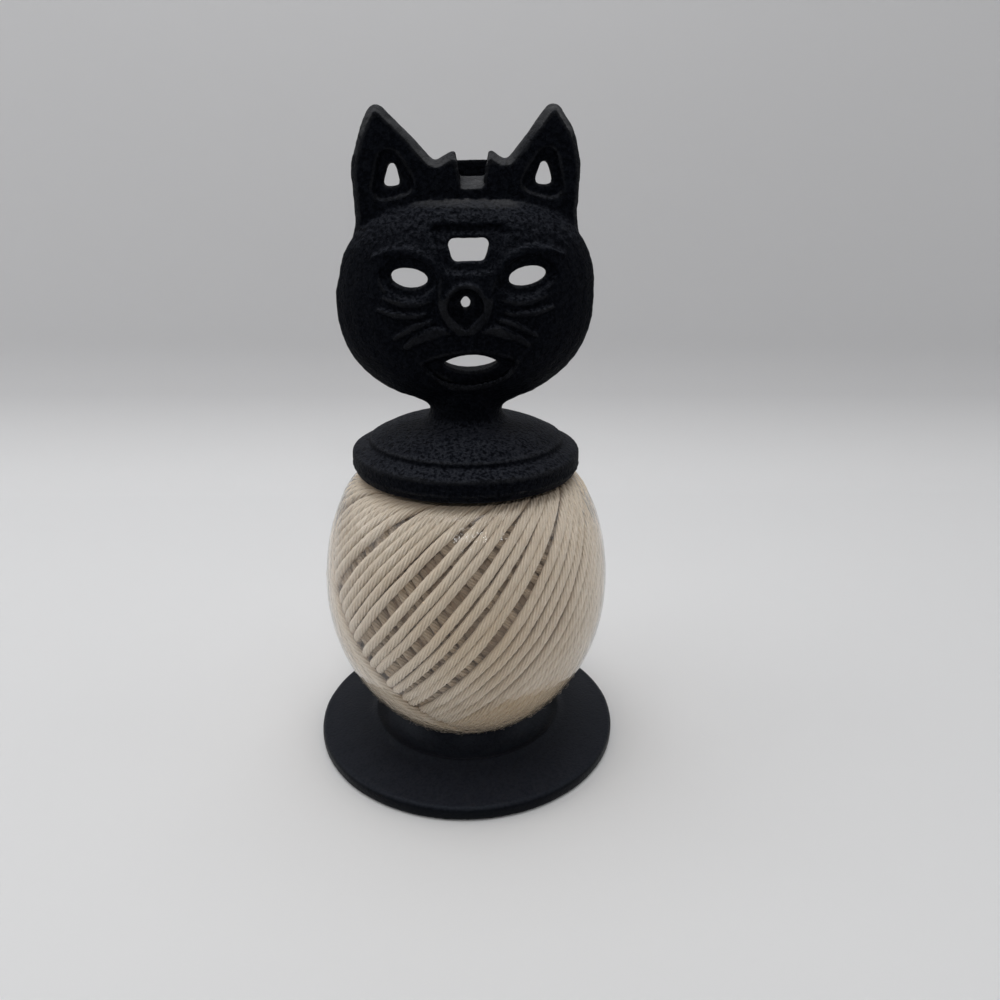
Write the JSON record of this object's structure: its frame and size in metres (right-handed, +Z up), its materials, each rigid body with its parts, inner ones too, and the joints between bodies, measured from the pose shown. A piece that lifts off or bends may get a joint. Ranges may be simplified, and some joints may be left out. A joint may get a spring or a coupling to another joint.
{
  "type": "string holder",
  "caption": "Free-standing cast-iron twine holder: a round foot with a spindle, a film-wrapped ball of cotton twine that turns on it, and a lift-off top cast as a cat's head.",
  "frame": {"origin": "centre of the foot's underside, on the table", "axes": "+Z up along the spindle, the cat's face looks along -Y, +X to the viewer's right"},
  "size_m": [0.088, 0.088, 0.1721],
  "materials": {
    "iron": "black sand-cast iron, satin to matte",
    "steel": "plain turned steel",
    "twine": "undyed cotton twine",
    "film": "clear shrink film"
  },
  "bodies": {
    "base": {"base_foot": "iron", "spindle": "steel", "spindle_washer": "steel", "spindle_nut": "steel"},
    "ball": {"twine_core": "twine", "twine_winding": "twine", "shrink_film": "film"},
    "top": {"cat_head": "iron"}
  },
  "joints": [
    {"name": "ball_spin", "type": "hinge", "parent": "base", "child": "ball", "pos_m": [0, 0, 0.0098], "axis": [0, 0, 1], "continuous": true},
    {"name": "head_lift", "type": "slide", "parent": "base", "child": "top", "axis": [0, 0, 1], "range_m": [0, 0.0175]}
  ]
}
